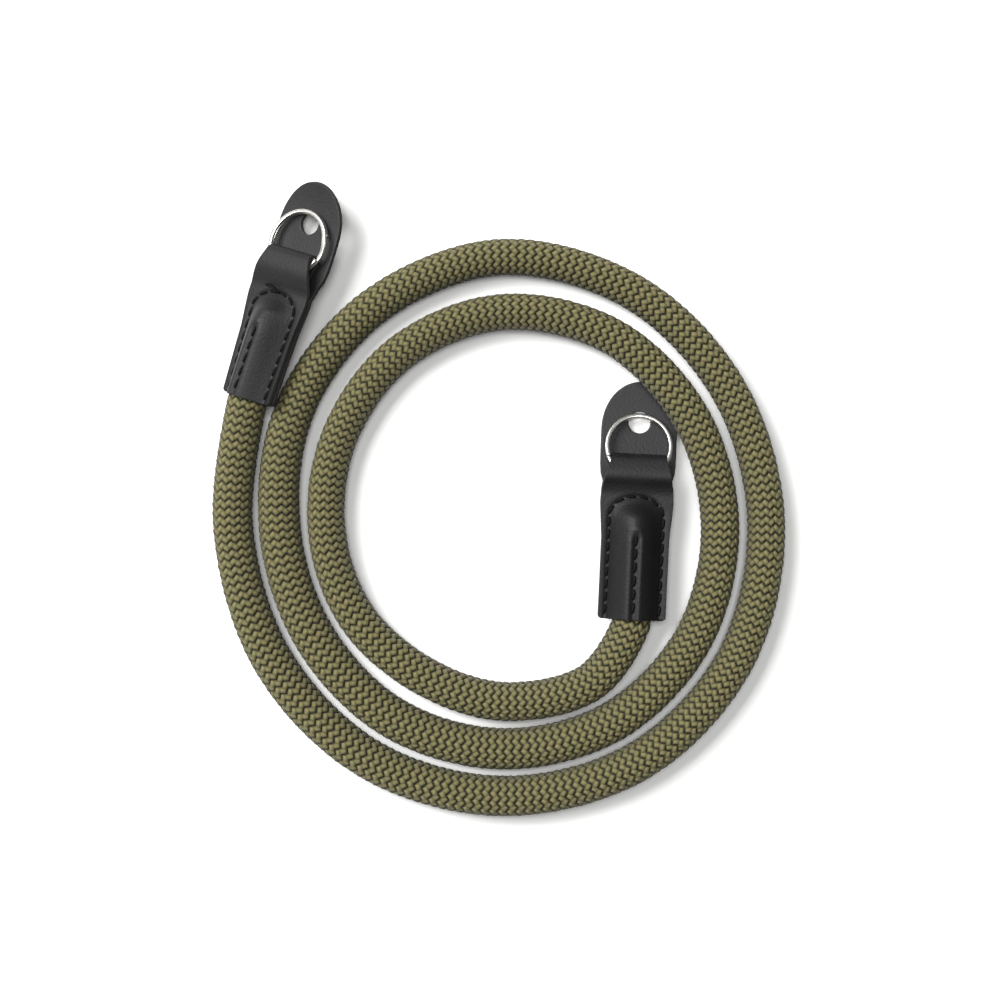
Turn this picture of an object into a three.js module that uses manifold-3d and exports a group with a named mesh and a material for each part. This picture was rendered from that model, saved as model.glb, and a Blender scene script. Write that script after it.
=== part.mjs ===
// A camera neck strap lying in a flat coil: one braided rope, and on each end of it
// a stitched leather sleeve whose tongue loops round a split ring, with a leather
// tab behind the ring that keeps it off the camera.
// Millimetres, +Z up, lying on the plane z = 0.

import * as THREE from 'three';
import { mergeVertices } from 'three/addons/utils/BufferGeometryUtils.js';
import Module from 'manifold-3d';

const wasm = await Module();
wasm.setup();

// Rope: soft, so it lies a little wider than it is high.
const ROPE_WIDTH = 10.4;
const ROPE_HEIGHT = 9.8;
const ROPE_SIDES = 12;
const ROPE_STEPS = 124;

// Points of the rope's path inside a sleeve, from its end, and on either side of the mouth.
const ROPE_SLEEVE_S = [21, 14, 8];
const ROPE_MOUTH_S = [2, -1];

// The coil turns counter-clockwise seen from above, from the -X side of its centre.
// radius: coil centre to rope middle. lift: how far the rope rides above lying flat.
const COIL_CENTRE = { x: 0.66, y: -7.68 };
const COIL_STEP_DEG = 30;
const COIL = [
  { radius: 70.6, lift: 0.7 },
  { radius: 69.6, lift: 0.1 },
  { radius: 70.0, lift: 0.04 },
  { radius: 70.4, lift: 0 },
  { radius: 71.0, lift: 0 },
  { radius: 70.5, lift: 0 },
  { radius: 69.5, lift: 0 },
  { radius: 69.8, lift: 0 },
  { radius: 71.0, lift: 0 },
  { radius: 71.3, lift: 0 },
  { radius: 67.3, lift: 0 },
  { radius: 62.8, lift: 0 },
  { radius: 58.4, lift: 0 },
  { radius: 57.0, lift: 0 },
  { radius: 57.5, lift: 0 },
  { radius: 58.0, lift: 0 },
  { radius: 58.6, lift: 0 },
  { radius: 58.1, lift: 0.1 },
  { radius: 57.3, lift: 0.5 },
  { radius: 57.5, lift: 1.4 },
  { radius: 58.0, lift: 1.2 },
  { radius: 56.8, lift: 0.3 },
  { radius: 53.3, lift: 0.05 },
  { radius: 49.1, lift: 0 },
  { radius: 46.1, lift: 0 },
  { radius: 44.8, lift: 0 },
  { radius: 43.9, lift: 0.05 },
  { radius: 45.5, lift: 0.2 },
  { radius: 46.6, lift: 1.0 },
];

// Leather. The front and back layers lie LAYER_GAP apart on either side of the
// plane h = 0, and both arch over the rope.
const LEATHER = 1.2;
const LAYER_GAP = 0.3;
const HUMP_INNER_RADIUS = 5.5;
const HUMP_POINTS = 9;

// Stitched sleeve, from its mouth towards the ring. hump: 1 over the rope, 0 where
// the layers lie flat together. spread: width of the hump against the rope's.
const SLEEVE = [
  { s: 0, halfWidth: 8.9, hump: 1, spread: 1.07 },
  { s: 5, halfWidth: 8.85, hump: 1, spread: 1 },
  { s: 10, halfWidth: 8.85, hump: 1, spread: 1 },
  { s: 15, halfWidth: 8.85, hump: 1, spread: 1 },
  { s: 21.5, halfWidth: 8.9, hump: 1, spread: 1 },
  { s: 24, halfWidth: 9.05, hump: 0.94, spread: 1 },
  { s: 26.5, halfWidth: 9.3, hump: 0.76, spread: 1 },
  { s: 28.7, halfWidth: 9.5, hump: 0.48, spread: 0.92 },
  { s: 30.5, halfWidth: 9.6, hump: 0.22, spread: 0.76 },
  { s: 31.8, halfWidth: 9.6, hump: 0.06, spread: 0.56 },
  { s: 32.8, halfWidth: 9.55, hump: 0, spread: 0.5 },
];

// Tongue of the front layer: it rises over the ring's wire, folds and runs back under it.
const TONGUE_RISE = [
  { s: 34.4, h: 0.75, halfWidth: 9.4 },
  { s: 36.0, h: 1.7, halfWidth: 9.1 },
];
const TONGUE_TAPER = { fromS: 36, fromHalf: 9.1, toS: 43.4, toHalf: 6.8 };
const TAIL_HALF_WIDTH = 6.5;
const LOOP_INNER_RADIUS = 1.2;
const LOOP_BACK = 3.75;
const LOOP_FOLD_STEPS = 6;

// Along the ring from the middle of its wire: where the tongue starts and the tail ends,
// on the rope's side of the wire, and a station of both on the other side.
const TONGUE_START = 0.9;
const TAIL_END = 0.4;
const PAST_WIRE = 1.2;

// Tab of the back layer behind the ring. left and right: height of its upper face
// below the plane between the layers; the right one droops to the ground.
const TAB = [
  { s: 34.4, halfWidth: 9.45, left: -1.0, right: -1.0 },
  { s: 36.4, halfWidth: 9.1, left: -2.1, right: -2.1 },
  { s: 38.4, halfWidth: 9.75, left: -2.6, right: -2.75 },
  { s: 41, halfWidth: 9.95, left: -2.9, right: -3.35 },
  { s: 44, halfWidth: 10, left: -3.0, right: -3.9 },
  { s: 47, halfWidth: 10, left: -3.0, right: -4.4 },
  { s: 50, halfWidth: 10, left: -2.9, right: -4.85 },
  { s: 52.5, halfWidth: 9.8, left: -2.7, right: -5.2 },
  { s: 55, halfWidth: 9.18, left: -2.4, right: -5.45 },
  { s: 57.2, halfWidth: 8.2, left: -2.05, right: -5.5 },
  { s: 59, halfWidth: 7.0, left: -1.65, right: -5.5 },
  { s: 60.5, halfWidth: 5.5, left: -1.25, right: -5.5 },
  { s: 61.6, halfWidth: 3.9, left: -0.9, right: -5.5 },
  { s: 62.3, halfWidth: 2.2, left: -0.65, right: -5.5 },
  { s: 62.6, halfWidth: 0.7, left: -0.55, right: -5.5 },
];
const TAB_HOLE = { s: 51.9, radius: 2.9, sides: 28, fromH: 2, toH: -10 };

// Leather with no hump: the points across it are drawn together in its middle.
const FLAT = { hump: 0, spread: 0.1 };

// Split ring: two flat turns of wire with one step between them.
const RING = { outerRadius: 8.9, wireAcross: 1.1, wireHigh: 0.8, turnGap: 0.1, chamfer: 0.2 };
const RING_STEP_DEG = 10;
const RING_FLAT_DEG = 320;
const RING_RAMP_DEG = 40;
const RING_END_GAP_DEG = 4;

// Each end has axes of its own: s along the sleeve from mouth to tab, w across it to
// the right seen from above, h up. heading: clockwise from +Y. roll: right edge raised.
const ENDS = [
  {
    name: 'left',
    origin: { x: -66.84, y: 23.12, z: 6.95 },
    heading: 17.6,
    pitch: 2.4,
    rollMouth: 41,
    rollTab: 31,
    mouthS: 3.2,
    ring: { s: 46.3, h: -0.3, tilt: 6, splitDeg: -111 },
  },
  {
    name: 'right',
    origin: { x: 34.6, y: -31.58, z: 6.7 },
    heading: 2.7,
    pitch: 0,
    rollMouth: 0,
    rollTab: 0,
    mouthS: 0,
    ring: { s: 45.5, h: -1.5, tilt: 16, splitDeg: 110 },
  },
];

const MATERIALS = {
  rope: { color: '#75724a', roughness: 0.85, metalness: 0 },
  leather: { color: '#3d3c3e', roughness: 0.55, metalness: 0 },
  steel: { color: '#d6d5d0', roughness: 0.2, metalness: 1 },
};

const { clamp, degToRad: rad, lerp, smoothstep } = THREE.MathUtils;
const vec = (x, y, z) => new THREE.Vector3(x, y, z);

const strap = new THREE.Group();
strap.name = 'camera_strap';

function addMesh(name, geometry, look) {
  const mesh = new THREE.Mesh(geometry, new THREE.MeshStandardMaterial(MATERIALS[look]));
  mesh.name = name;
  strap.add(mesh);
  return mesh;
}

// Axes of an end at a distance s along it, with its roll there.
function axesAt(end, s) {
  const turn = rad(end.heading);
  const pitch = rad(end.pitch);
  const toTab = clamp(s / SLEEVE.at(-1).s, 0, 1);
  const roll = rad(lerp(end.rollMouth, end.rollTab, toTab));
  const run = Math.cos(pitch);
  const along = vec(Math.sin(turn) * run, Math.cos(turn) * run, Math.sin(pitch));
  const level = vec(Math.cos(turn), -Math.sin(turn), 0);
  const upright = level.clone().cross(along);
  const across = level.clone().multiplyScalar(Math.cos(roll)).addScaledVector(upright, Math.sin(roll));
  const up = upright.clone().multiplyScalar(Math.cos(roll)).addScaledVector(level, -Math.sin(roll));
  return { along, across, up };
}

function toWorld(end, s, w, h) {
  const axes = axesAt(end, s);
  return vec(end.origin.x, end.origin.y, end.origin.z)
    .addScaledVector(axes.along, s)
    .addScaledVector(axes.across, w)
    .addScaledVector(axes.up, h);
}

// A closed solid through a row of loops. A loop is one row of points and then the
// row facing it, read backwards, so the two caps are strips between the rows.
function loft(loops) {
  const count = loops[0].length;
  const last = (loops.length - 1) * count;
  const points = loops.flat();
  const index = [];
  for (let i = 0; i < loops.length - 1; i++) {
    for (let j = 0; j < count; j++) {
      const a = i * count + j;
      const b = i * count + (j + 1) % count;
      index.push(a, b, b + count, a, b + count, a + count);
    }
  }
  for (let j = 0; j < count / 2 - 1; j++) {
    const k = count - 1 - j;
    index.push(j + 1, j, k, j + 1, k, k - 1);
    index.push(last + j, last + j + 1, last + k, last + j + 1, last + k - 1, last + k);
  }
  let volume = 0;
  for (let t = 0; t < index.length; t += 3) {
    const [a, b, c] = [points[index[t]], points[index[t + 1]], points[index[t + 2]]];
    volume += a.dot(b.clone().cross(c));
  }
  if (volume < 0) index.reverse();
  return new THREE.BufferGeometry().setFromPoints(points).setIndex(index);
}

function toManifold(geometry) {
  const bare = geometry.clone();
  bare.deleteAttribute('normal');
  bare.deleteAttribute('uv');
  const merged = mergeVertices(bare, 1e-4);
  const vertProperties = new Float32Array(merged.attributes.position.array);
  const triVerts = new Uint32Array(merged.index.array);
  return new wasm.Manifold(new wasm.Mesh({ numProp: 3, vertProperties, triVerts }));
}

function toGeometry(manifold) {
  const mesh = manifold.getMesh();
  const geometry = new THREE.BufferGeometry();
  geometry.setAttribute('position', new THREE.Float32BufferAttribute(mesh.vertProperties, 3));
  geometry.setIndex(Array.from(mesh.triVerts));
  return geometry;
}

// One row across a leather layer: flat at both edges, arched by the hump between.
function leatherRow(station, radius, base) {
  const start = Math.asin(base / radius);
  const row = [{ w: -station.halfWidth, raise: 0 }];
  for (let k = 0; k < HUMP_POINTS; k++) {
    const angle = Math.PI - start - k * (Math.PI - 2 * start) / (HUMP_POINTS - 1);
    row.push({
      w: radius * Math.cos(angle) * station.spread,
      raise: (radius * Math.sin(angle) - base) * station.hump,
    });
  }
  row.push({ w: station.halfWidth, raise: 0 });
  return row;
}

// A leather layer along a path of stations in the s-h plane. side: 1 for the front
// layer, whose outer face is on the left of the path, -1 for the back layer.
function leatherLayer(end, stations, side) {
  const loops = stations.map((station, i) => {
    const before = stations[Math.max(i - 1, 0)];
    const after = stations[Math.min(i + 1, stations.length - 1)];
    const [ds, dh] = [after.s - before.s, after.h - before.h];
    const normalS = -side * dh / Math.hypot(ds, dh);
    const normalH = side * ds / Math.hypot(ds, dh);
    const place = (w, out) => toWorld(end, station.s + normalS * out, w, station.h + normalH * out);
    const inner = leatherRow(station, HUMP_INNER_RADIUS, LAYER_GAP / 2);
    const outer = leatherRow(station, HUMP_INNER_RADIUS + LEATHER, LAYER_GAP / 2 + LEATHER);
    const outerRow = outer.map((p) => place(p.w, LEATHER + p.raise));
    const innerRow = inner.map((p) => place(p.w, p.raise));
    return [...outerRow, ...innerRow.reverse()];
  });
  return loft(loops);
}

function sleeveStations(end, side) {
  const h = side * LAYER_GAP / 2;
  return SLEEVE.map((row) => ({ ...row, s: Math.max(row.s, end.mouthS), h }));
}

// Point of the s-h plane given along (u) and square to (n) the tilted ring.
function ringPlane(end, u, n) {
  const tilt = rad(end.ring.tilt);
  return {
    s: end.ring.s + u * Math.cos(tilt) + n * Math.sin(tilt),
    h: end.ring.h - u * Math.sin(tilt) + n * Math.cos(tilt),
  };
}

function tongueHalfWidth(s) {
  const { fromS, fromHalf, toS, toHalf } = TONGUE_TAPER;
  return lerp(fromHalf, toHalf, clamp((s - fromS) / (toS - fromS), 0, 1));
}

function tongueStations(end) {
  const wire = RING.outerRadius - RING.wireAcross / 2;
  const foldU = LOOP_BACK - wire;
  const stations = TONGUE_RISE.map((row) => ({ ...row, ...FLAT }));
  for (const u of [-wire - TONGUE_START, -wire + PAST_WIRE, foldU]) {
    const point = ringPlane(end, u, LOOP_INNER_RADIUS);
    stations.push({ ...point, ...FLAT, halfWidth: tongueHalfWidth(point.s) });
  }
  for (let k = 1; k < LOOP_FOLD_STEPS; k++) {
    const angle = Math.PI / 2 - k * Math.PI / LOOP_FOLD_STEPS;
    const out = LOOP_INNER_RADIUS * Math.cos(angle);
    const point = ringPlane(end, foldU + out, LOOP_INNER_RADIUS * Math.sin(angle));
    stations.push({ ...point, ...FLAT, halfWidth: TONGUE_TAPER.toHalf });
  }
  for (const u of [foldU, -wire + PAST_WIRE, -wire - TAIL_END]) {
    const point = ringPlane(end, u, -LOOP_INNER_RADIUS);
    stations.push({ ...point, ...FLAT, halfWidth: TAIL_HALF_WIDTH });
  }
  return stations;
}

function tabWithHole(end) {
  const tab = TAB.map((row) => ({ ...row, ...FLAT, h: row[end.name] }));
  const layer = leatherLayer(end, [...sleeveStations(end, -1), ...tab], -1);
  const { s, radius, sides, fromH, toH } = TAB_HOLE;
  const above = toWorld(end, s, 0, fromH);
  const below = toWorld(end, s, 0, toH);
  const punch = new THREE.CylinderGeometry(radius, radius, fromH - toH, sides);
  const axis = above.clone().sub(below).normalize();
  punch.applyQuaternion(new THREE.Quaternion().setFromUnitVectors(vec(0, 1, 0), axis));
  punch.translate(...above.clone().add(below).multiplyScalar(0.5).toArray());
  return toGeometry(toManifold(layer).subtract(toManifold(punch)));
}

// Wire of the split ring round its own Z axis, from one end of the wire to the other.
function ringGeometry(splitDeg) {
  const middle = RING.outerRadius - RING.wireAcross / 2;
  const rise = (RING.wireHigh + RING.turnGap) / 2;
  const [a, b, c] = [RING.wireAcross / 2, RING.wireHigh / 2, RING.chamfer];
  const section = [
    [-a, b - c], [-a + c, b], [a - c, b], [a, b - c],
    [a, c - b], [a - c, -b], [c - a, -b], [-a, c - b],
  ];
  const loops = [];
  const wound = 2 * RING_FLAT_DEG + RING_RAMP_DEG - RING_END_GAP_DEG;
  const rampEnd = RING_FLAT_DEG + RING_RAMP_DEG - RING_END_GAP_DEG / 2;
  const steps = Math.round(wound / RING_STEP_DEG);
  for (let k = 0; k <= steps; k++) {
    const deg = wound * k / steps;
    const z = lerp(-rise, rise, smoothstep(deg, RING_FLAT_DEG, rampEnd));
    const angle = rad(deg + splitDeg + RING_RAMP_DEG / 2);
    loops.push(section.map(([out, up]) => vec(
      (middle + out) * Math.cos(angle),
      (middle + out) * Math.sin(angle),
      z + up,
    )));
  }
  return loft(loops);
}

// The rope runs from inside the left sleeve round the coil into the right sleeve.
function ropePath() {
  const sleeveRun = (end) => {
    const mouth = ROPE_MOUTH_S.map((s) => end.mouthS + s);
    return [...ROPE_SLEEVE_S, ...mouth].map((s) => toWorld(end, s, 0, 0));
  };
  const coil = COIL.map((row, i) => {
    const angle = rad(i * COIL_STEP_DEG);
    return vec(
      COIL_CENTRE.x - row.radius * Math.cos(angle),
      COIL_CENTRE.y - row.radius * Math.sin(angle),
      ROPE_HEIGHT / 2 + row.lift,
    );
  });
  const [left, right] = ENDS;
  return new THREE.CatmullRomCurve3([...sleeveRun(left), ...coil, ...sleeveRun(right).reverse()]);
}

const ropeSection = new THREE.Shape();
for (let k = 0; k < ROPE_SIDES; k++) {
  const angle = 2 * Math.PI * k / ROPE_SIDES;
  const x = ROPE_HEIGHT / 2 * Math.cos(angle);
  const y = ROPE_WIDTH / 2 * Math.sin(angle);
  if (k === 0) ropeSection.moveTo(x, y);
  else ropeSection.lineTo(x, y);
}
addMesh(
  'rope',
  new THREE.ExtrudeGeometry(ropeSection, { steps: ROPE_STEPS, extrudePath: ropePath() }),
  'rope',
);

for (const end of ENDS) {
  const front = [...sleeveStations(end, 1), ...tongueStations(end)];
  addMesh(`${end.name}_sleeve_front`, leatherLayer(end, front, 1), 'leather');
  addMesh(`${end.name}_back_and_tab`, tabWithHole(end), 'leather');

  const ring = addMesh(`${end.name}_split_ring`, ringGeometry(end.ring.splitDeg), 'steel');
  const axes = axesAt(end, end.ring.s);
  ring.position.copy(toWorld(end, end.ring.s, 0, end.ring.h));
  ring.rotation.setFromRotationMatrix(
    new THREE.Matrix4()
      .makeBasis(axes.along, axes.across.clone().negate(), axes.up)
      .multiply(new THREE.Matrix4().makeRotationY(rad(end.ring.tilt))),
  );
}

export default strap;
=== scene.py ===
# %% [markdown]
# # A coiled camera strap
#
# The strap is one thick braided rope with a stitched leather sleeve on each end. The sleeve's
# tongue loops round a split ring, and a leather tab behind the ring keeps it off the camera.
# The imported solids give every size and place, so they are loaded first and stay where they
# are. Each piece is then worked out again as a fine surface in the same frame, in metres.

import bmesh
import bpy
import numpy as np
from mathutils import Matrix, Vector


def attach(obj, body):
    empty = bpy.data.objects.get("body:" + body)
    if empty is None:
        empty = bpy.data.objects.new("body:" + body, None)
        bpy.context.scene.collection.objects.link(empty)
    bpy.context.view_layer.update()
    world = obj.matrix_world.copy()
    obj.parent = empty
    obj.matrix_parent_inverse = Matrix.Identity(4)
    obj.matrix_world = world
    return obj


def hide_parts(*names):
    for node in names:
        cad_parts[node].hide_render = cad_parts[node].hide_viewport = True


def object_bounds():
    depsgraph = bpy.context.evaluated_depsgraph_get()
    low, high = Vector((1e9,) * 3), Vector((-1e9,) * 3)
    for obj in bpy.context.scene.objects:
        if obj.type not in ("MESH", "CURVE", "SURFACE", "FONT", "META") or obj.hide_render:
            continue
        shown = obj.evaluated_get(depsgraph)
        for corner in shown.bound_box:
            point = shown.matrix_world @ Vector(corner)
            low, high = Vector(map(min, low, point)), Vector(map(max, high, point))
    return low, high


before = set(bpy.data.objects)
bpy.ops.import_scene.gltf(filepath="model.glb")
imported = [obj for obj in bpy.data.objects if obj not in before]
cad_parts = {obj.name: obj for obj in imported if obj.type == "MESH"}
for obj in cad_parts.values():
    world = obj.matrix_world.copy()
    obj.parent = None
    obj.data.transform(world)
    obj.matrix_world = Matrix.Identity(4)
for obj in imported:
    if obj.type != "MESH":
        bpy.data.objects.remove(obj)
cad_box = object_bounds()
MM = 0.001
print("solids:", sorted(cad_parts))

# %% [markdown]
# ## Camera
#
# The photograph looks straight down on the coil from about two thirds of a metre, so a
# camera that isn't turned at all does it: it looks along -Z with +Y up in the picture. The
# lens follows from similar triangles: sensor over lens is width seen over distance.

# %% Camera straight above the coil
VIEW_WIDTH = 263.0
VIEW_MIDDLE = (0.16, -0.28)
LENS_HEIGHT = 650.0
ROPE_MIDDLE = 4.9
SENSOR = 36.0

camera_data = bpy.data.cameras.new("camera")
camera_data.sensor_width = SENSOR
camera_data.lens = SENSOR * (LENS_HEIGHT - ROPE_MIDDLE) / VIEW_WIDTH
camera = bpy.data.objects.new("camera", camera_data)
camera.location = (VIEW_MIDDLE[0] * MM, VIEW_MIDDLE[1] * MM, LENS_HEIGHT * MM)
bpy.context.collection.objects.link(camera)
bpy.context.scene.camera = camera
print("lens:", round(camera_data.lens, 1), "mm")

# %% [markdown]
# ## The two ends
#
# Each leather end has axes of its own, as the solids have: s runs along the sleeve from its
# mouth to the tab, w across it and h up. The left end leans over on its neighbour turn, so
# its roll changes along it. One function turns any arrays of s, w and h into the row frame.

# %% Axes of the ends
SLEEVE_LENGTH = 32.8
ENDS = {
    "left": dict(
        origin=(-66.84, 23.12, 6.95), heading=17.6, pitch=2.4, roll=(41.0, 31.0), mouth=3.2,
        ring_s=46.3, ring_h=-0.3, ring_tilt=6.0, ring_split=-86.0,
    ),
    "right": dict(
        origin=(34.6, -31.58, 6.7), heading=2.7, pitch=0.0, roll=(0.0, 0.0), mouth=0.0,
        ring_s=45.5, ring_h=-1.5, ring_tilt=16.0, ring_split=138.0,
    ),
}


def place(end, s, w, h):
    """Row-frame points in metres for arrays of s, w and h in millimetres.

    The point is the end's origin plus s along, w across and h up, where across and up are
    the level and upright directions turned about the sleeve's axis by the roll at s.
    """
    s, w, h = np.broadcast_arrays(s, w, h)
    turn, pitch = np.radians((end["heading"], end["pitch"]))
    roll = np.radians(np.interp(s, (0, SLEEVE_LENGTH), end["roll"]))[..., None]
    along = np.array((np.sin(turn) * np.cos(pitch), np.cos(turn) * np.cos(pitch), np.sin(pitch)))
    level = np.array((np.cos(turn), -np.sin(turn), 0.0))
    upright = np.cross(level, along)
    across = level * np.cos(roll) + upright * np.sin(roll)
    up = upright * np.cos(roll) - level * np.sin(roll)
    local = s[..., None] * along + w[..., None] * across + h[..., None] * up
    return MM * (np.array(end["origin"]) + local)


for name, end in ENDS.items():
    print(name, "ring centre:", place(end, end["ring_s"], 0, end["ring_h"]).round(4))

# %% [markdown]
# ## Meshes from arrays
#
# Every piece below is a grid of points, so the faces are always the same quads between
# neighbours. Filling the mesh with foreach_set passes whole arrays at once, which stays
# quick even for the thousands of little strands in the rope.

# %% Grid faces and a mesh object
def grid_quads(rows, columns, ring=False):
    """Point numbers of the quads between neighbours in a grid; ring closes each row on itself."""
    number = np.arange(rows * columns).reshape(rows, columns)
    if ring:
        number = np.concatenate((number, number[:, :1]), axis=1)
    corners = (number[:-1, :-1], number[:-1, 1:], number[1:, 1:], number[1:, :-1])
    return np.stack(corners, axis=-1).reshape(-1, 4)


def tube_quads(rows, columns):
    """Quads of a closed tube: a grid of rings, and strips across the first and last ring."""
    side = np.arange(columns // 2 - 1)
    strip = np.stack((side, side + 1, columns - 2 - side, columns - 1 - side), axis=-1)
    last = strip[:, ::-1] + (rows - 1) * columns
    return np.concatenate((grid_quads(rows, columns, ring=True)[:, ::-1], strip, last))


def repeat_quads(quads, points_each, copies):
    """The same quads for many copies of a patch, whose points follow one another."""
    return (quads[None] + points_each * np.arange(copies)[:, None, None]).reshape(-1, 4)


def add_piece(name, points, quads, materials, uv=None, **attributes):
    """A smooth mesh object at the origin. uv has two numbers a point, an attribute one."""
    mesh = bpy.data.meshes.new(name)
    mesh.vertices.add(points.size // 3)
    mesh.vertices.foreach_set("co", points.ravel().astype(np.float32))
    mesh.loops.add(quads.size)
    mesh.loops.foreach_set("vertex_index", quads.ravel().astype(np.int32))
    mesh.polygons.add(len(quads))
    mesh.polygons.foreach_set("loop_start", np.arange(0, quads.size, 4, dtype=np.int32))
    mesh.update(calc_edges=True)
    if uv is not None:
        layer = mesh.uv_layers.new(name="UVMap")
        layer.data.foreach_set("uv", uv.reshape(-1, 2)[quads.ravel()].ravel().astype(np.float32))
    for key, values in attributes.items():
        data = mesh.attributes.new(key, "FLOAT", "POINT").data
        data.foreach_set("value", np.ascontiguousarray(values, dtype=np.float32).ravel())
    mesh.shade_smooth()
    for material in materials:
        mesh.materials.append(material)
    piece = bpy.data.objects.new(name, mesh)
    bpy.context.collection.objects.link(piece)
    print(name, len(quads), "quads")
    return piece


# %% [markdown]
# ## Colours and nodes
#
# Colours are written as the hex values that a screen shows, and one function turns them into
# the linear light that shaders work in. Nodes are added by one small function: a socket given
# as an input becomes a link, and anything else is set as a value.

# %% Helpers for materials
def linear(hex_colour):
    """sRGB hex to linear RGBA, by the sRGB curve: a short straight start, then a power of 2.4."""
    srgb = np.array([int(hex_colour[i:i + 2], 16) for i in (1, 3, 5)]) / 255
    light = np.where(srgb <= 0.04045, srgb / 12.92, ((srgb + 0.055) / 1.055) ** 2.4)
    return (*light.tolist(), 1.0)


def add_node(tree, kind, inputs=None, **settings):
    """Adds a node with its settings; inputs maps a socket's name or number to a value or socket."""
    node = tree.nodes.new(kind)
    for key, value in settings.items():
        setattr(node, key, value)
    for key, value in (inputs or {}).items():
        if isinstance(value, bpy.types.NodeSocket):
            tree.links.new(value, node.inputs[key])
        else:
            node.inputs[key].default_value = value
    return node


def new_material(name, **shader_values):
    """A material with its Principled shader, whose sockets take the values given by name."""
    material = bpy.data.materials.new(name)
    material.use_nodes = True
    shader = material.node_tree.nodes["Principled BSDF"]
    for key, value in shader_values.items():
        shader.inputs[key.replace("_", " ")].default_value = value
    return material, material.node_tree, shader


print("mid olive in linear light:", np.round(linear("#75724a")[:3], 3))

# %% [markdown]
# ## Rope material
#
# The rope's cover is braided from strands of spun polyester yarn, dyed olive. Each strand is a
# bundle of fine fibres, so it is matt with a faint sheen. The mesh brings two numbers a point:
# a crest shade, painted shade from 0 in the crevices, at the tucked ends and under the rope to
# 1 on a strand's back, and tone, one value for each visible length of strand.

# %% Braided polyester yarn
FIBRE = 0.16  # mm; real fibres are finer, drawn as coarse as they need to be to show
FIBRE_STRETCH = 0.18  # a fibre's width over the length of one lump in it


def braided_polyester():
    """Olive yarn: colour by the crest shade, which is painted shade, and tone; fibres as a stretched
    noise along the strand.
    """
    material, tree, shader = new_material(
        "braided_polyester_olive", Roughness=0.78, Sheen_Weight=0.18, Sheen_Roughness=0.45,
        Specular_IOR_Level=0.3,
    )
    crest = add_node(tree, "ShaderNodeAttribute", attribute_name="crest")
    tone = add_node(tree, "ShaderNodeAttribute", attribute_name="tone")
    # Painted shade: the ramp darkens the yarn to near black where the crest shade is 0, in the crevices
    # and under the rope.
    ramp = add_node(tree, "ShaderNodeValToRGB", {"Fac": crest.outputs["Fac"]})
    ramp.color_ramp.elements[0].color = linear("#0c0b05")
    ramp.color_ramp.elements[1].color = linear("#7d7959")
    middle = ramp.color_ramp.elements.new(0.55)
    middle.color = linear("#504d34")
    warm = add_node(
        tree, "ShaderNodeMix",
        {0: tone.outputs["Fac"], 6: linear("#eef2dc"), 7: linear("#fff4e4")}, data_type="RGBA",
    )
    yarn = add_node(
        tree, "ShaderNodeMix", {0: 1.0, 6: ramp.outputs["Color"], 7: warm.outputs[2]},
        data_type="RGBA", blend_type="MULTIPLY",
    )
    tree.links.new(yarn.outputs[2], shader.inputs["Base Color"])
    strand = add_node(tree, "ShaderNodeUVMap", uv_map="UVMap")
    stretched = add_node(
        tree, "ShaderNodeMapping",
        {"Vector": strand.outputs["UV"], "Scale": (FIBRE_STRETCH / FIBRE, 1 / FIBRE, 1.0)},
    )
    fibres = add_node(
        tree, "ShaderNodeTexNoise",
        {"Vector": stretched.outputs["Vector"], "Scale": 1.0, "Detail": 2.0},
    )
    bump = add_node(
        tree, "ShaderNodeBump",
        {"Height": fibres.outputs["Fac"], "Strength": 0.6, "Distance": 0.08 * MM},
    )
    tree.links.new(bump.outputs["Normal"], shader.inputs["Normal"])
    return material


def braid_underside():
    """The rope's inner layer, seen only as the depth of the crevices: painted shade, near-black felt.
    """
    material, tree, shader = new_material("polyester_core_painted_shade", Roughness=0.95)
    where = add_node(tree, "ShaderNodeTexCoord")
    felt = add_node(
        tree, "ShaderNodeTexNoise", {"Vector": where.outputs["Object"], "Scale": 1 / (0.4 * MM)}
    )
    # Painted shade: near-black olive stands for the shade deep in the crevices between strands.
    shade = add_node(
        tree, "ShaderNodeMix",
        {0: felt.outputs["Fac"], 6: linear("#12110a"), 7: linear("#252312")}, data_type="RGBA",
    )
    tree.links.new(shade.outputs[2], shader.inputs["Base Color"])
    return material


strand_material = braided_polyester()
core_material = braid_underside()
print("rope materials:", strand_material.name, core_material.name)

# %% [markdown]
# ## Route of the rope
#
# The rope comes out of the left sleeve, lies in a flat coil of a little over two turns and
# goes into the right sleeve. Its route is the same list as in the solids: a radius for every
# thirty degrees, with a small lift where it passes over leather. A Catmull-Rom curve goes
# through all its points, so a point that is moved by hand changes only its own stretch.

# %% Points of the route
COIL_MIDDLE = (0.66, -7.68)
COIL_STEP = np.radians(30)
COIL_RADIUS = (
    70.6, 69.6, 70.0, 70.4, 71.0, 70.5, 69.5, 69.8, 71.0, 71.3, 67.3, 62.8, 58.4, 57.0, 57.5,
    58.0, 58.6, 58.1, 57.3, 57.5, 58.0, 56.8, 53.3, 49.1, 46.1, 44.8, 43.9, 45.5, 46.6,
)
COIL_LIFT = {
    0: 0.7, 1: 0.1, 2: 0.04, 17: 0.1, 18: 0.5, 19: 1.4, 20: 1.2, 21: 0.3, 22: 0.05,
    26: 0.05, 27: 0.2, 28: 1.0,
}
IN_SLEEVE = (21.0, 14.0, 8.0)
AT_MOUTH = (2.0, -1.0)


def sleeve_points(end):
    """Route points on a sleeve's axis, from the rope's end inside it to just before its mouth."""
    return place(end, np.array(IN_SLEEVE + tuple(end["mouth"] + s for s in AT_MOUTH)), 0, 0) / MM


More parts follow.
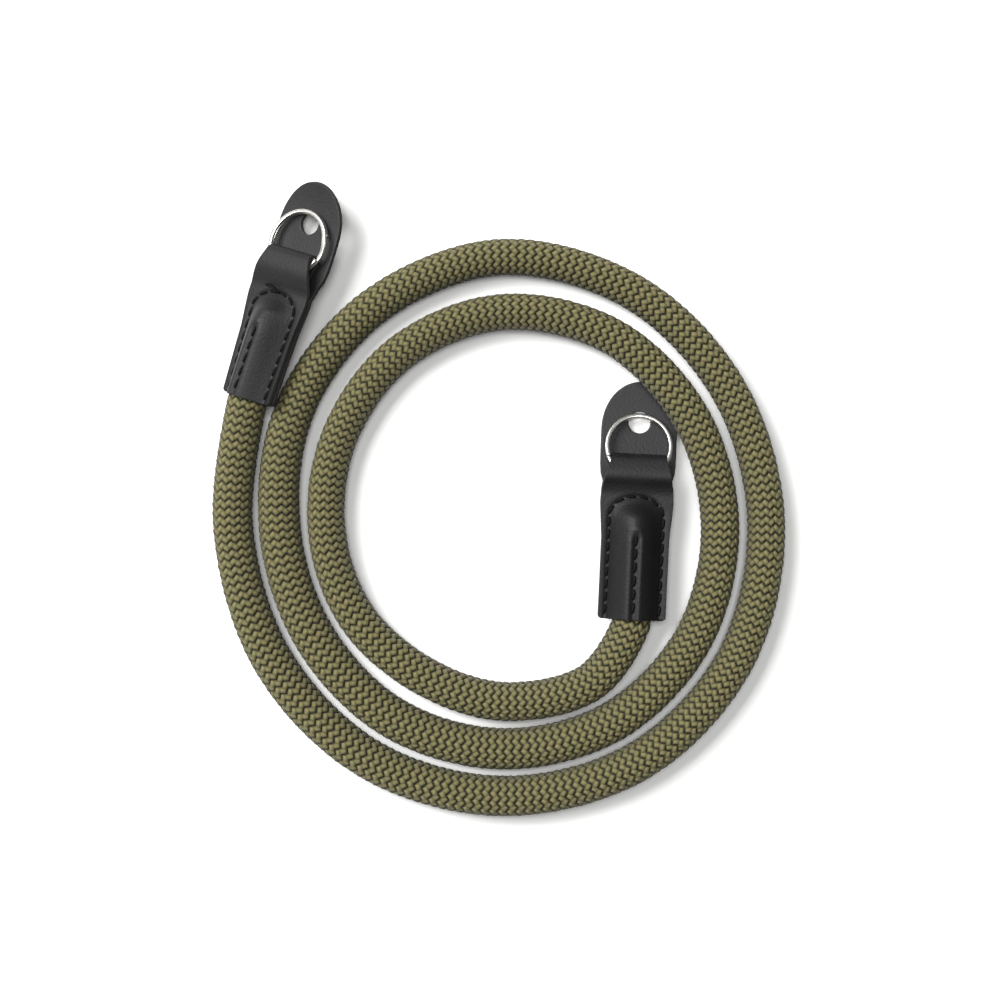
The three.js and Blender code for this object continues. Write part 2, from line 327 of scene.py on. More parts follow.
def coil_points():
    """Route points of the coil: a turn angle for each row, its radius, and the rope's middle height."""
    turn = COIL_STEP * np.arange(len(COIL_RADIUS))
    lift = np.array([COIL_LIFT.get(row, 0.0) for row in range(len(COIL_RADIUS))])
    x = COIL_MIDDLE[0] - np.array(COIL_RADIUS) * np.cos(turn)
    y = COIL_MIDDLE[1] - np.array(COIL_RADIUS) * np.sin(turn)
    return np.stack((x, y, ROPE_MIDDLE + lift), axis=-1)


route = np.concatenate((
    sleeve_points(ENDS["left"]), coil_points(), sleeve_points(ENDS["right"])[::-1],
))
print("route points:", len(route))

# %% A smooth curve through points
def smooth_curve(points, per_span):
    """Centripetal Catmull-Rom curve: each span is a cubic between two points.

    The slope at a point weighs the slopes of the spans beside it by the square root of their
    lengths. One more point is guessed before the first and after the last, in line with them.
    """
    ends = 2 * points[[0, -1]] - points[[1, -2]]
    p = np.concatenate((ends[:1], points, ends[1:]))
    gap = np.sqrt(np.linalg.norm(np.diff(p, axis=0), axis=1))[:, None]
    before, own, after = gap[:-2], gap[1:-1], gap[2:]
    step = np.diff(p, axis=0) / gap
    wide = (p[2:] - p[:-2]) / (gap[:-1] + gap[1:])
    leave = own * (step[:-2] - wide[:-1] + step[1:-1])
    arrive = own * (step[1:-1] - wide[1:] + step[2:])
    t = np.linspace(0, 1, per_span, endpoint=False)[:, None]
    a, b = p[1:-2, None], p[2:-1, None]
    curve = (
        (2 * t**3 - 3 * t**2 + 1) * a + (t**3 - 2 * t**2 + t) * leave[:, None]
        + (3 * t**2 - 2 * t**3) * b + (t**3 - t**2) * arrive[:, None]
    )
    return np.concatenate((curve.reshape(-1, points.shape[1]), points[-1:]))


def distance_along(points):
    """Length along a row of points, from 0 at the first."""
    return np.concatenate(((0.0,), np.cumsum(np.linalg.norm(np.diff(points, axis=0), axis=1))))


PER_SPAN = 60
centreline = smooth_curve(route, PER_SPAN)
travel = distance_along(centreline)
rope_length = travel[-1]
print("rope length with its ends in the sleeves:", round(rope_length), "mm")

# %% [markdown]
# ## Section of the rope
#
# The rope is soft and lies a little wider than it is high, and its width in the photograph
# varies along the coil. Two directions go with the centreline: side, level and square to it,
# and up. A surface point is then the centreline plus an angle round this oval.

# %% Oval section along the centreline
ROPE_HEIGHT = 9.8
ROPE_RADIUS = 5.05
COIL_WIDTH = (
    10.8, 11.1, 11.0, 10.9, 10.8, 10.4, 10.2, 9.9, 9.8, 9.8, 10.1, 10.8, 11.3, 11.4, 11.3,
    11.2, 11.0, 10.6, 10.4, 10.3, 10.0, 9.8, 9.8, 9.9, 10.2, 10.4, 10.5, 10.6, 10.5,
)
coil_travel = travel[PER_SPAN * (len(sleeve_points(ENDS["left"])) + np.arange(len(COIL_WIDTH)))]
heading = np.gradient(centreline, travel, axis=0)
side = np.cross(heading, (0.0, 0.0, 1.0))
side /= np.linalg.norm(side, axis=1)[:, None]
upward = np.cross(side, heading)


def along_rope(values, at):
    """Values kept along the centreline, read at other distances, each column by itself."""
    return np.stack([np.interp(at, travel, column) for column in values.T], axis=-1)


def rope_point(at, angle, radius):
    """Points in metres: the centreline plus radius round the oval, from side at 0 towards up.

    Radius is given for a round rope and is stretched to the rope's half width sideways and to
    its half height upwards.
    """
    half_width = np.interp(at, coil_travel, COIL_WIDTH) / 2
    across = (radius / ROPE_RADIUS * half_width * np.cos(angle))[..., None]
    raised = (radius / ROPE_RADIUS * ROPE_HEIGHT / 2 * np.sin(angle))[..., None]
    middle = along_rope(centreline, at)
    return MM * (middle + across * along_rope(side, at) + raised * along_rope(upward, at))


print("rope width:", min(COIL_WIDTH), "to", max(COIL_WIDTH), "mm")

# %% [markdown]
# ## Braided cover
#
# Twelve strands wind one way round the rope and twelve the other, each passing over and under
# the next. So the surface is made of columns: in every second column all strands of one hand
# lie on top, and in the columns between all those of the other hand, which gives the zigzag
# rows. A bump map could draw that, but its outline would stay smooth and the exported mesh
# would be a plain tube. Only the length of strand that lies on top is seen, so each such float
# is one small patch, thousands of them in two meshes, over a tube painted near black as painted
# shade, which closes the crevices.

# %% Sizes of the braid
STRANDS = 12
ROW = 2.2
ZIGZAG_RISE = 1.15
COLUMN = np.pi / STRANDS
STRAND_HALF_WIDTH = 0.8
STRAND_CROWN = 0.45
STRAND_WEAVE = 0.28
FLOAT_REACH = 0.78
FLOAT_ROWS = (-1.0, -0.5, 0.2, 0.9, 1.0)
CORE_RADIUS = 4.28
column_width = ROPE_RADIUS * COLUMN
slant = np.arctan2(column_width, ZIGZAG_RISE)
float_half_length = FLOAT_REACH * column_width / np.sin(slant)
bed_radius = ROPE_RADIUS - STRAND_WEAVE - STRAND_CROWN
tuck = CORE_RADIUS - bed_radius - 0.06
mouths = (IN_SLEEVE[0] - ENDS["left"]["mouth"], rope_length - IN_SLEEVE[0])
print("strands lie", round(np.degrees(slant)), "degrees from the rope's axis")

# %% Floats of one hand
BRAID_INSIDE = 3.0
chance = np.random.default_rng(7)


def braid(name, hand):
    """All floats of the strands that wind to one hand, 1 or -1.

    A float's middle is at a column's angle and a row's distance. From there u runs along the
    strand and the angle bend goes over its back. The height is a parabola of u, high near the
    end that lies on its neighbour and low at the end that is tucked under one, plus the crown
    of its back. The patch's rim is tucked into the tube under it, so no edge stands open. The
    crest shade is painted shade: it falls off towards the strand's edges, over the rim, at the
    tucked end, on the rope's flanks and under the rope.
    """
    first = 0 if hand > 0 else 1
    column = np.arange(first, 2 * STRANDS, 2) * COLUMN
    row = np.arange(mouths[0] - BRAID_INSIDE, mouths[1] + BRAID_INSIDE, ROW)
    column, row = (a.ravel()[:, None, None] for a in np.meshgrid(column, row, indexing="ij"))
    u = np.array(FLOAT_ROWS)[:, None]
    bend = np.radians((-88, -48, 0, 48, 88))
    run = u * float_half_length
    over = STRAND_HALF_WIDTH * np.sin(bend)
    around = run * np.sin(slant) - hand * over * np.cos(slant)
    forward = hand * run * np.cos(slant) + over * np.sin(slant)
    proud = -np.abs(chance.normal(0, 0.05, column.shape))
    weave = STRAND_WEAVE * (1 - 2 * ((u - 0.35) / 1.35) ** 2)
    rim = (np.abs(u) > 0.99) | (np.abs(bend) > np.radians(80))
    height = np.where(rim, tuck, weave + STRAND_CROWN * np.cos(bend) + proud)
    twist = 0.12 * np.sin(row / 41) + 0.08 * np.sin(row / 17 + 1)
    angle = column + twist + around / ROPE_RADIUS
    points = rope_point(row + forward, angle, bed_radius + height)
    # Painted shade: the yarn is darkened on the rope's flanks and underside, towards each strand's
    # edges, and at its rim and tucked end, where shade falls.
    open_to_light = 0.15 + 0.85 * np.clip(np.sin(angle) + 0.3, 0, 1)
    over_back = np.cos(bend) ** 0.8 * np.clip(0.8 + 0.6 * u, 0.25, 1)
    crest = over_back * np.where(rim, 0.3, 1) * open_to_light
    tone = np.clip(chance.normal(0.5, 0.2, column.shape), 0, 1) + 0 * height
    uv = np.stack(np.broadcast_arrays(run + 7.3 * row, bend * 0.6 + 3.1 * column), axis=-1)
    patch = grid_quads(len(u), len(bend))
    quads = repeat_quads(patch, len(u) * len(bend), len(column))
    return add_piece(name, points, quads, [strand_material], uv=uv, crest=crest, tone=tone)


right_hand_strands = braid("rope_strands_right_hand", 1)
left_hand_strands = braid("rope_strands_left_hand", -1)

# %% The tube under the strands
CORE_SIDES = 24
CORE_STEP = 1.6


def rope_core():
    """A tube round the whole centreline: rings of points at even distances, closed at both ends."""
    at = np.linspace(0, rope_length, int(rope_length / CORE_STEP))[:, None]
    angle = np.linspace(0, 2 * np.pi, CORE_SIDES, endpoint=False)[None]
    at, angle = np.broadcast_arrays(at, angle)
    points = rope_point(at, angle, CORE_RADIUS)
    uv = np.stack((at * MM, angle), axis=-1)
    return add_piece("rope_core", points, tube_quads(*at.shape), [core_material], uv=uv)


core = rope_core()
for piece in (core, right_hand_strands, left_hand_strands):
    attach(piece, "strap")
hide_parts("rope")
place(ENDS["left"], ENDS["left"]["mouth"], 0, 0).tolist()

# %% [markdown]
# ## Leather material
#
# The ends are cut from smooth-grained cowhide, dyed through to a soft black and pressed with a
# fine pebble grain. It gives a satin sheen that breaks up into tiny cells. The tabs get a lighter
# copy of the same leather, painted light where the tilted tab catches less of the overhead sheen.
# Where it was cut, the edge shows its paler fibre, so edges get a material of their own.

# %% Dyed leather and its cut edge
GRAIN = 0.55  # mm across a pebble of the grain
PORE = 0.2  # mm between pores; real ones are finer
DYE_CLOUD = 7  # mm across a cloud in the dye


def grained_leather(name, deep, pale):
    """Leather of two close shades: cloudy dye, pebble cells and pores as bump, uneven gloss."""
    material, tree, shader = new_material(name, Specular_IOR_Level=0.3)
    where = add_node(tree, "ShaderNodeTexCoord").outputs["Object"]
    cloud = add_node(
        tree, "ShaderNodeTexNoise", {"Vector": where, "Scale": 1 / (DYE_CLOUD * MM), "Detail": 3.0}
    )
    dye = add_node(
        tree, "ShaderNodeMix",
        {0: cloud.outputs["Fac"], 6: linear(deep), 7: linear(pale)}, data_type="RGBA",
    )
    tree.links.new(dye.outputs[2], shader.inputs["Base Color"])
    rub = add_node(
        tree, "ShaderNodeMapRange", {"Value": cloud.outputs["Fac"], "To Min": 0.48, "To Max": 0.6}
    )
    tree.links.new(rub.outputs["Result"], shader.inputs["Roughness"])
    pebble = add_node(
        tree, "ShaderNodeTexVoronoi", {"Vector": where, "Scale": 1 / (GRAIN * MM)},
        feature="SMOOTH_F1",
    )
    pores = add_node(
        tree, "ShaderNodeTexNoise", {"Vector": where, "Scale": 1 / (PORE * MM), "Detail": 2.0}
    )
    coarse = add_node(
        tree, "ShaderNodeBump",
        {"Height": pebble.outputs["Distance"], "Strength": 0.5, "Distance": -0.12 * MM},
    )
    fine = add_node(
        tree, "ShaderNodeBump",
        {"Height": pores.outputs["Fac"], "Strength": 0.3, "Distance": 0.05 * MM,
         "Normal": coarse.outputs["Normal"]},
    )
    tree.links.new(fine.outputs["Normal"], shader.inputs["Normal"])
    return material


NAP = 0.3  # mm between tufts of the cut fibre


def cut_edge():
    """Raw leather edge: grey-brown fibre, dull, with a fine nap."""
    material, tree, shader = new_material(
        "cowhide_cut_edge", Roughness=0.9, Specular_IOR_Level=0.2,
    )
    where = add_node(tree, "ShaderNodeTexCoord").outputs["Object"]
    nap = add_node(
        tree, "ShaderNodeTexNoise", {"Vector": where, "Scale": 1 / (NAP * MM), "Detail": 3.0}
    )
    fibre = add_node(
        tree, "ShaderNodeMix",
        {0: nap.outputs["Fac"], 6: linear("#1c1b1b"), 7: linear("#444140")}, data_type="RGBA",
    )
    tree.links.new(fibre.outputs[2], shader.inputs["Base Color"])
    bump = add_node(
        tree, "ShaderNodeBump",
        {"Height": nap.outputs["Fac"], "Strength": 0.5, "Distance": 0.08 * MM},
    )
    tree.links.new(bump.outputs["Normal"], shader.inputs["Normal"])
    return material


edge_leather = cut_edge()
front_hide = [grained_leather("cowhide_dyed_black", "#0f0f10", "#171618"), edge_leather]
# Painted light: the tabs' copy of the black leather is lighter than the fronts'.
tab_hide = [grained_leather("cowhide_black_painted_lighter", "#1c1b1c", "#242224"), edge_leather]
print("leather materials:", [hide[0].name for hide in (front_hide, tab_hide)])

# %% [markdown]
# ## Stitched sleeve
#
# Two layers of leather lie together and arch over the rope between them. A seam runs up both
# sides and closes in an arch beyond the rope's end, and a shorter row of stitches down the
# middle pulls a groove into the hump. All of that is one height over the flat layers, a
# function of s and w, so the front, the back and the stitches share it.

# %% Height of the sleeve over the flat layers
LEATHER = 1.2
LAYER_GAP = 0.3
SEAM_W = 7.1
SEAM_ARCH = (26.8, 5.5)
CENTRE_ROW = (1.4, 22.4)
HUMP_HEIGHT = 5.35
HUMP_S = (20.5, 24.0, 26.5, 28.7, 30.5, 32.3)
HUMP_SHARE = (1.0, 0.93, 0.76, 0.55, 0.38, 0.25)


def seam_place(s, w):
    """How far out a point is towards the seam, 1 on it, and its distance from the seam in mm.

    Beside the rope it is w against the seam's half width. Past the start of the arch it is the
    radius of an ellipse. The distance is the difference from 1 over the slope.
    """
    beyond = np.maximum(s - SEAM_ARCH[0], 0)
    out = np.hypot(w / SEAM_W, beyond / SEAM_ARCH[1])
    slope = np.hypot(w / SEAM_W**2, beyond / SEAM_ARCH[1] ** 2) / np.maximum(out, 1e-6)
    return out, np.abs(out - 1) / np.maximum(slope, 1e-3)


def sleeve_height(s, w, groove):
    """Hump inside the seam, a power of one minus out squared, less the seam's and groove's dents.

    The power grows towards the arch, so the round hump over the rope turns into a narrow ridge.
    """
    out, from_seam = seam_place(s, w)
    power = np.interp(s, (16.0, 25.0, 31.0), (1.6, 1.65, 1.9))
    hump = HUMP_HEIGHT * np.interp(s, HUMP_S, HUMP_SHARE) * np.maximum(1 - out**2, 0) ** power
    dent = 0.3 * np.exp(-((from_seam / 0.6) ** 2)) * (s < SEAM_ARCH[0] + SEAM_ARCH[1] + 2)
    fade = np.clip((CENTRE_ROW[1] + 1.0 - s) / 2.5, 0, 1)
    return hump - dent - groove * np.exp(-((w / 1.05) ** 2)) * fade


FRONT_GROOVE = 1.05
BACK_GROOVE = 0.65
s_test = np.array((10.0, 10.0, 30.0))
print("hump at its middle, its side and the arch:",
      sleeve_height(s_test, np.array((0.0, 3.0, 0.0)), FRONT_GROOVE).round(2))

# %% [markdown]
# ## Front leather with its tongue
#
# The front layer is one strip: over the rope, up over the ring's wire, round the fold and back
# under the wire. Its side view is a path in s and h, and the strip is that path carried across
# w with a half width for every point. Solidify then gives the leather its thickness inwards,
# and a small Bevel rounds the cut edges.

# %% Path of the front layer
RING_WIRE_RADIUS = 8.35
FOLD_RADIUS = 1.2
FOLD_U = 3.75 - RING_WIRE_RADIUS
STRIP_STEP = 0.4
STRIP_COLUMNS = 65
MOUTH_CORNER = 0.9


def on_ring(end, u, n):
    """s and h of points given along the tilted ring, u, and square to it, n."""
    tilt = np.radians(end["ring_tilt"])
    s = end["ring_s"] + u * np.cos(tilt) + n * np.sin(tilt)
    h = end["ring_h"] - u * np.sin(tilt) + n * np.cos(tilt)
    return np.stack((s, h), axis=-1)


def tongue_points(end):
    """Inner face of the tongue: over the wire, a half circle of fold, and the tail below it."""
    over = on_ring(end, np.array((-8.7, -7.4, -6.0)), np.array((1.0, 1.28, 1.3)))
    turn = np.radians(np.linspace(90, -90, 9))
    fold = on_ring(end, FOLD_U + FOLD_RADIUS * np.cos(turn), FOLD_RADIUS * np.sin(turn))
    under = on_ring(end, np.array((-7.15, -8.75)), -FOLD_RADIUS)
    return np.array(((34.2, 0.42), (35.6, 0.95))), over, fold, under


def round_mouth(half_width, inside):
    """Half width less a quarter circle at the mouth's corners; inside is the way in from it."""
    short = np.clip(MOUTH_CORNER - inside, 0, MOUTH_CORNER)
    return half_width - MOUTH_CORNER + np.sqrt(MOUTH_CORNER**2 - short**2)


def front_rows(end):
    """Rows of the front strip: inner face s and h, and half width, at even steps along the path."""
    rise, over, fold, under = tongue_points(end)
    sleeve_s = np.array((end["mouth"], 10.0, 16.0, 21.5, 26.5, 30.5, 32.8))
    sleeve = np.stack((sleeve_s, np.full(7, LAYER_GAP / 2)), axis=-1)
    path = np.concatenate((sleeve, rise, over, fold, under))
    half_width = np.interp(
        path[:, 0], (0, 5, 21.5, 26.5, 30.5, 34.4, 37, 40, 42, 43.4),
        (8.9, 8.85, 8.9, 9.3, 9.55, 9.35, 8.85, 7.85, 7.15, 6.8),
    )
    half_width[-len(under):] = 6.5
    curve = smooth_curve(np.column_stack((path, half_width)), 12)
    at = distance_along(curve[:, :2])
    even = np.linspace(0, at[-1], int(at[-1] / STRIP_STEP))
    s, h, half_width = (np.interp(even, at, column) for column in curve.T)
    return np.stack((s, h, round_mouth(half_width, s - end["mouth"])), axis=-1)


print("front strip:", len(front_rows(ENDS["right"])), "rows of", STRIP_COLUMNS)

# %% Front leather
def thicken(piece):
    """Leather thickness inwards from the modelled face, rim in the edge material, edges rounded."""
    wall = piece.modifiers.new("leather_thickness", "SOLIDIFY")
    wall.thickness = LEATHER * MM
    wall.offset = -1.0
    wall.use_even_offset = False
    wall.material_offset_rim = 1
    edge = piece.modifiers.new("rounded_edges", "BEVEL")
    edge.width = 0.22 * MM
    edge.segments = 2
    edge.limit_method = "ANGLE"
    edge.angle_limit = np.radians(55)


def front_leather(name, end):
    """Outer face of the strip: its path moved out by the leather, plus the sleeve's height."""
    inner = front_rows(end)
    slope = np.gradient(inner[:, :2], axis=0)
    slope /= np.linalg.norm(slope, axis=1)[:, None]
    outer = inner[:, :2] + LEATHER * np.stack((-slope[:, 1], slope[:, 0]), axis=-1)
    w = np.linspace(-1, 1, STRIP_COLUMNS) * inner[:, 2:]
    first_pass = np.arange(len(inner)) < np.argmax(inner[:, 0])
    raised = sleeve_height(inner[:, :1], w, FRONT_GROOVE) * first_pass[:, None]
    points = place(end, outer[:, :1], w, outer[:, 1:] + raised)
    quads = grid_quads(*w.shape)
    piece = add_piece(f"{name}_sleeve_front_leather", points, quads, front_hide)
    thicken(piece)
    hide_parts(f"{name}_sleeve_front")
    return piece


fronts = [front_leather(name, end) for name, end in ENDS.items()]

# %% [markdown]
# ## Back leather with its tab
#
# The back layer arches under the rope and runs on behind the ring as a round-ended tab with a
# punched hole. A plain grid can't have a hole, so the strip ends at a line across the tab, and
# a second grid runs from the hole's circle outwards to the tab's outline. Both use the same
# points along that line, and merging by distance makes them one sheet.

# %% Shape of the back layer
TAB_S = (34.4, 36.4, 38.4, 41, 44, 47, 50, 52.5, 55, 57.2, 59, 60.5, 61.6, 62.3, 62.6)
TAB_HALF_WIDTH = (
    9.45, 9.1, 9.75, 9.95, 10, 10, 10, 9.8, 9.18, 8.2, 7.0, 5.5, 3.9, 2.2, 0.7,
)
TAB_H = {
    "left": (
        -1, -2.1, -2.6, -2.9, -3, -3, -2.9, -2.7, -2.4, -2.05, -1.65, -1.25, -0.9, -0.65, -0.55,
    ),
    "right": (
        -1, -2.1, -2.75, -3.35, -3.9, -4.4, -4.85, -5.2, -5.45, -5.5, -5.5, -5.5, -5.5, -5.5, -5.5,
    ),
}
TAB_HOLE_S = 51.9
TAB_HOLE_RADIUS = 2.9
TAB_LINE_S = 44.0


def back_profile(name, end):
    """Lower face of the back layer against s: its upper face's path, one thickness below."""
    sleeve = [(s, -LAYER_GAP / 2) for s in (end["mouth"], 12.0, 24.0, 30.5, 32.8)]
    upper = smooth_curve(np.array(sleeve + list(zip(TAB_S, TAB_H[name]))), 10)
    slope = np.gradient(upper, axis=0)
    slope /= np.linalg.norm(slope, axis=1)[:, None]
    return upper[:, 0], upper + LEATHER * np.stack((slope[:, 1], -slope[:, 0]), axis=-1)


def back_surface(name, end, s, w):
    """Points of the lower face at any s and w: the profile there, less the hump under the rope."""
    along, lower = back_profile(name, end)
    h = np.interp(s, along, lower[:, 1]) - sleeve_height(s, w, BACK_GROOVE)
    return place(end, np.interp(s, along, lower[:, 0]), w, h)


def tab_outline():
    """Round end of the tab as w and s: from the line across it, right, over the tip, left."""
    keep = np.array(TAB_S) >= TAB_LINE_S
    right = np.stack((np.array(TAB_HALF_WIDTH)[keep], np.array(TAB_S)[keep]), axis=-1)
    tip = np.array(((0.0, TAB_S[-1] + 0.03),))
    return smooth_curve(np.concatenate((right, tip, right[::-1] * (-1, 1))), 4)


print("tab outline:", len(tab_outline()), "points")

# %% Back leather
def back_leather(name, end):
    """The strip up to the line across the tab, and rings from the hole's circle to the outline."""
    s = np.concatenate((np.arange(end["mouth"], TAB_LINE_S - 0.2, 0.45), (TAB_LINE_S,)))[:, None]
    half_width = np.interp(
        s, (0, 5, 21.5, 26.5, 30.5) + TAB_S[:5], (8.9, 8.85, 8.9, 9.3, 9.6) + TAB_HALF_WIDTH[:5]
    )
    w = np.linspace(-1, 1, STRIP_COLUMNS) * round_mouth(half_width, s - end["mouth"])
    strip = back_surface(name, end, np.broadcast_to(s, w.shape), w)
    line = np.stack((w[-1, 1:-1], np.full(STRIP_COLUMNS - 2, TAB_LINE_S)), axis=-1)
    outline = np.concatenate((tab_outline(), line))
    hole = np.array((0.0, TAB_HOLE_S))
    ray = outline - hole
    circle = hole + TAB_HOLE_RADIUS * ray / np.linalg.norm(ray, axis=1)[:, None]
    share = np.linspace(0, 1, 14)[:, None, None]
    rings = circle + share * (outline - circle)
    tab = back_surface(name, end, rings[..., 1], rings[..., 0])
    points = np.concatenate((strip.reshape(-1, 3), tab.reshape(-1, 3)))
    tab_quads = grid_quads(len(share), len(outline), ring=True) + strip.size // 3
    quads = np.concatenate((grid_quads(*w.shape)[:, ::-1], tab_quads))
    piece = add_piece(f"{name}_back_leather", points, quads, tab_hide)
    joined = bmesh.new()
    joined.from_mesh(piece.data)
    bmesh.ops.remove_doubles(joined, verts=joined.verts, dist=0.01 * MM)
    joined.to_mesh(piece.data)
    joined.free()
    thicken(piece)
    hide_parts(f"{name}_back_and_tab")
    return piece


backs = [back_leather(name, end) for name, end in ENDS.items()]
for piece in fronts + backs:
    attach(piece, "strap")

# %% [markdown]
# ## Stitches
#
# The layers are sewn with thick bonded thread, about three stitches to the centimetre. Each
# stitch is a short bent tube whose ends dive into the leather, set a little askew to the seam
# as a lock stitch is. One function makes all the stitches of a row at once. At the left arch
# the thread's end was left standing, so that end has one loose tail more.

# %% Bonded thread
THREAD_RADIUS = 0.43
STITCH_PITCH = 3.3
STITCH_SHOWN = 0.76
STITCH_SKEW = 0.4


def bonded_thread():
    """Black nylon thread, waxed: dark and satin, with the ridges of its twist as bump."""
    material, tree, shader = new_material(
        "nylon_thread_black", Base_Color=linear("#060606"), Roughness=0.7, Specular_IOR_Level=0.15,
    )
    strand = add_node(tree, "ShaderNodeUVMap", uv_map="UVMap").outputs["UV"]
    twist = add_node(
        tree, "ShaderNodeTexWave", {"Vector": strand, "Scale": 0.55, "Distortion": 0.4},
        bands_direction="DIAGONAL",
    )
    bump = add_node(
        tree, "ShaderNodeBump",
        {"Height": twist.outputs["Fac"], "Strength": 0.6, "Distance": 0.08 * MM},
    )
    tree.links.new(bump.outputs["Normal"], shader.inputs["Normal"])
    return material


thread = bonded_thread()
print("thread:", thread.name)

# %% Rows of stitches
def tubes(paths, radius):
    """Rings round many short paths of s, w, h: radius to the side of and above each point."""
    run = np.gradient(paths, axis=1)
    aside = np.cross((0.0, 0.0, 1.0), run)
    aside /= np.linalg.norm(aside, axis=-1)[..., None]
    above = np.cross(run, aside)
    above /= np.linalg.norm(above, axis=-1)[..., None]
    turn = np.linspace(0, 2 * np.pi, 8, endpoint=False)[:, None]
    ring = np.cos(turn) * aside[..., None, :] + np.sin(turn) * above[..., None, :]
    return paths[..., None, :] + radius[..., None, None] * ring


def seam_row(mouth):
    """s and w along the outer seam: up one side, half an ellipse for the arch, down the other."""
    turn = np.radians(np.linspace(0, 180, 40))
    leg = np.array(((mouth + 0.9, SEAM_W),))
    arch = np.stack((SEAM_ARCH[0] + SEAM_ARCH[1] * np.sin(turn), SEAM_W * np.cos(turn)), axis=-1)
    return np.concatenate((leg, arch, leg * (1, -1)))


def centre_row(mouth):
    """s and w of the middle row, a straight line."""
    return np.array(((mouth + CENTRE_ROW[0], 0.0), (CENTRE_ROW[1], 0.0)))


def stitch_paths(row, face, groove):
    """Paths of a row's stitches as s, w, h: an arc over the sleeve's face, 1 front, -1 back."""
    at = distance_along(row)
    count = int(round(at[-1] / STITCH_PITCH))
    t = np.linspace(0, 1, 9)
    where = (np.arange(count)[:, None] + 0.5 + STITCH_SHOWN * (t - 0.5)) * at[-1] / count
    s, w = np.interp(where, at, row[:, 0]), np.interp(where, at, row[:, 1])
    ds, dw = np.gradient(s, axis=1), np.gradient(w, axis=1)
    skew = STITCH_SKEW * (t - 0.5) / np.hypot(ds, dw)
    s, w = s - skew * dw, w + skew * ds
    bow = 0.34 * np.sqrt(np.sin(np.pi * np.clip(t, 0.02, 0.98))) - 0.2
    h = LAYER_GAP / 2 + LEATHER + sleeve_height(s, w, groove) + bow
    return np.stack((s, w, face * h), axis=-1)


print("stitches in the right seam:", len(stitch_paths(seam_row(0.0), 1, FRONT_GROOVE)))

# %% Sew both ends
LOOSE_END = np.array((
    (32.2, 0.7, 1.2), (32.5, -0.5, 1.8), (33.1, -1.8, 1.95), (33.4, -3.1, 1.9), (33.2, -4.3, 1.85),
))


def stitches(name, end):
    """Every stitch of an end as one mesh: the seam and the middle row, on front and back."""
    mouth = end["mouth"]
    rows = [
        stitch_paths(row, face, groove)
        for face, groove in ((1, FRONT_GROOVE), (-1, BACK_GROOVE))
        for row in (seam_row(mouth), centre_row(mouth))
    ]
    if name == "left":
        rows.append(smooth_curve(LOOSE_END, 2)[None])
    paths = np.concatenate(rows)
    thin = THREAD_RADIUS * (1 - 0.35 * np.linspace(-1, 1, paths.shape[1]) ** 4)
    rings = tubes(paths, np.broadcast_to(thin, paths.shape[:2]))
    turn = np.linspace(0, 4, rings.shape[2])
    length = 3 * np.linspace(0, 1, paths.shape[1])[:, None]
    uv = np.stack(np.broadcast_arrays(length, turn, rings[..., 0])[:2], axis=-1)
    each = tube_quads(rings.shape[1], rings.shape[2])
    quads = repeat_quads(each, rings.shape[1] * rings.shape[2], len(rings))
    points = place(end, rings[..., 0], rings[..., 1], rings[..., 2])
    piece = add_piece(f"{name}_stitches", points, quads, [thread], uv=uv)
    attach(piece, "strap")


for name, end in ENDS.items():
    stitches(name, end)

# %% [markdown]
# ## Split rings
#
# A split ring is spring wire wound twice round, flattened and nickel plated. Its path is a
# circle that steps up by one wire over a short ramp, and its section a rounded rectangle,
# which a superellipse gives in one formula. The plate is a bright mirror with fine rub marks.

# %% Nickel plate
RUB_MARK = 0.9  # mm across a rub mark


def nickel_plate():
    """Polished nickel on spring steel: a slightly warm mirror, faint rub marks in its gloss."""
    material, tree, shader = new_material(
        "nickel_plated_steel", Base_Color=linear("#cbc9c4"), Metallic=1.0,
    )
    where = add_node(tree, "ShaderNodeTexCoord").outputs["Object"]
    rub = add_node(
        tree, "ShaderNodeTexNoise", {"Vector": where, "Scale": 1 / (RUB_MARK * MM), "Detail": 4.0}
    )
    gloss = add_node(
        tree, "ShaderNodeMapRange", {"Value": rub.outputs["Fac"], "To Min": 0.26, "To Max": 0.36}
    )
    tree.links.new(gloss.outputs["Result"], shader.inputs["Roughness"])
    return material


nickel = nickel_plate()
print("ring material:", nickel.name)

# %% Split rings
WIRE_ACROSS = 1.1
WIRE_HIGH = 0.8
TURN_GAP = 0.1
FLAT_TURN = 320.0
RAMP_TURN = 40.0
END_GAP = 6.0


def split_ring(name, end):
    """Wire carried along a double circle, whose height goes up by one wire over the ramp."""
    wound = 2 * FLAT_TURN + RAMP_TURN - END_GAP
    turn = np.linspace(0, wound, 260)[:, None]
    climb = np.clip((turn - FLAT_TURN) / (RAMP_TURN - END_GAP / 2), 0, 1)
    level = (WIRE_HIGH + TURN_GAP) * (climb**2 * (3 - 2 * climb) - 0.5)
    around = np.radians(np.arange(0, 360, 20) + 10)
    square = (np.cos(around) ** 4 + np.sin(around) ** 4) ** -0.25
    out = RING_WIRE_RADIUS + WIRE_ACROSS / 2 * square * np.cos(around)
    lift = level + WIRE_HIGH / 2 * square * np.sin(around)
    angle = np.radians(turn + end["ring_split"] + RAMP_TURN / 2)
    side_view = on_ring(end, out * np.cos(angle), lift)
    points = place(end, side_view[..., 0], -out * np.sin(angle), side_view[..., 1])
    piece = add_piece(f"{name}_ring_nickel", points, tube_quads(*lift.shape), [nickel])
    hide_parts(f"{name}_split_ring")
    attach(piece, f"{name}_ring")


for name, end in ENDS.items():
    split_ring(name, end)

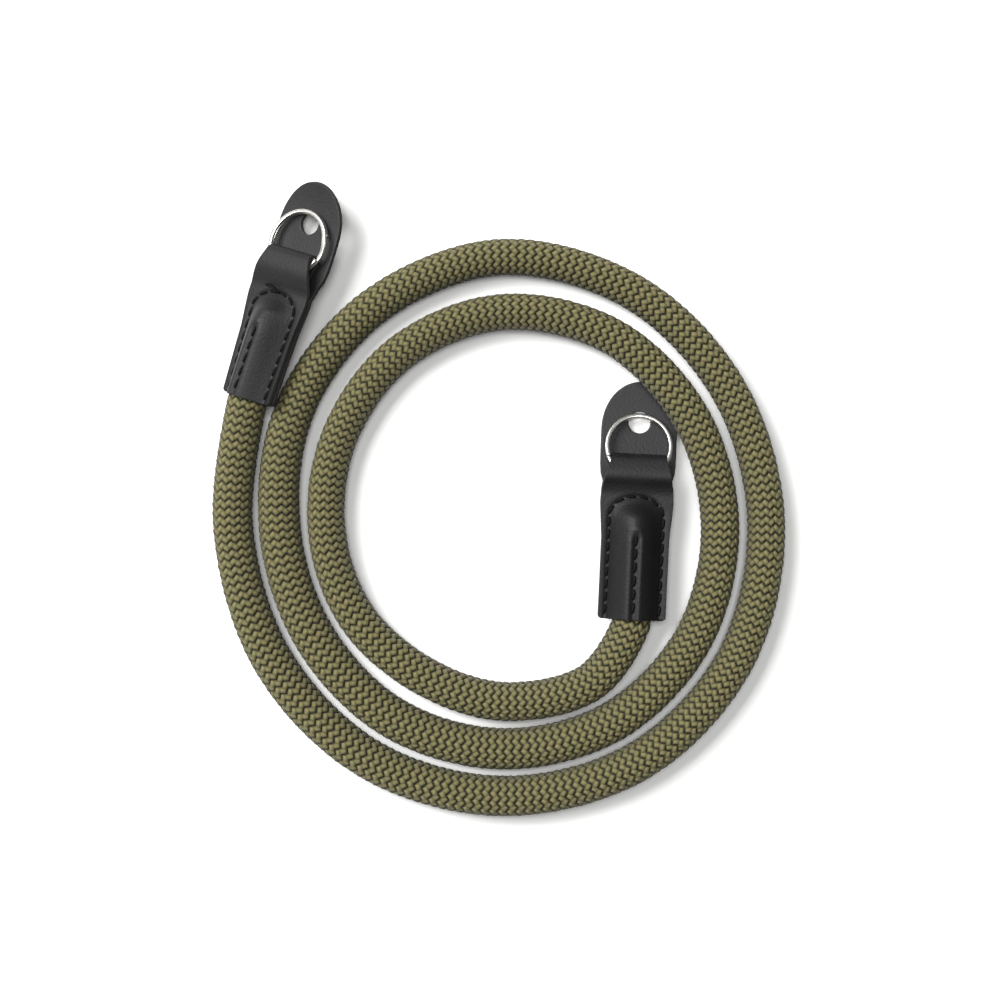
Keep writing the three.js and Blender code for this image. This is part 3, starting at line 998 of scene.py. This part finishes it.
# %% [markdown]
# ## Floor and light
#
# The strap lies on a plain white sheet. A wide soft panel from the upper left gives the rope its
# shaded flank, a smaller one overhead gives the leather its satin ridge, and a pale surround
# keeps the shadows open.

# %% Floor
PAPER_TOOTH = 1.5  # mm between bumps of the paper
FLOOR_REACH = 5.0


def studio_floor():
    """A flat square sheet of matt white paper, with a trace of tooth in its surface."""
    material, tree, shader = new_material(
        "paper_white", Base_Color=linear("#fafaf8"), Roughness=0.9,
    )
    where = add_node(tree, "ShaderNodeTexCoord").outputs["Object"]
    tooth = add_node(
        tree, "ShaderNodeTexNoise", {"Vector": where, "Scale": 1 / (PAPER_TOOTH * MM)}
    )
    bump = add_node(
        tree, "ShaderNodeBump",
        {"Height": tooth.outputs["Fac"], "Strength": 0.1, "Distance": 0.05 * MM},
    )
    tree.links.new(bump.outputs["Normal"], shader.inputs["Normal"])
    edge = np.linspace(-FLOOR_REACH, FLOOR_REACH, 5)
    x, y = np.meshgrid(edge, edge)
    points = np.stack((x, y, np.full(x.shape, cad_box[0][2] - 0.05 * MM)), axis=-1)
    return add_piece("floor", points, grid_quads(5, 5), [material])


studio_floor()

# %% Light
def soft_panel(name, place_m, size, watts):
    """A square area light at a place in metres, turned to face the coil."""
    data = bpy.data.lights.new(name, "AREA")
    data.size = size
    data.energy = watts
    panel = bpy.data.objects.new(name, data)
    back = np.array(place_m) / np.linalg.norm(place_m)
    panel.location = place_m
    panel.rotation_euler = (np.arccos(back[2]), 0, np.arctan2(back[0], -back[1]))
    bpy.context.collection.objects.link(panel)
    return panel


soft_panel("key_panel", (-0.85, 0.6, 1.15), 0.9, 39.0)
soft_panel("top_panel", (0.0, 0.1, 1.5), 0.5, 10.5)
world = bpy.data.worlds.new("surround")
world.use_nodes = True
world.node_tree.nodes["Background"].inputs["Color"].default_value = linear("#f4f6f8")
world.node_tree.nodes["Background"].inputs["Strength"].default_value = 0.13
bpy.context.scene.world = world
bpy.context.scene.view_settings.view_transform = "Standard"
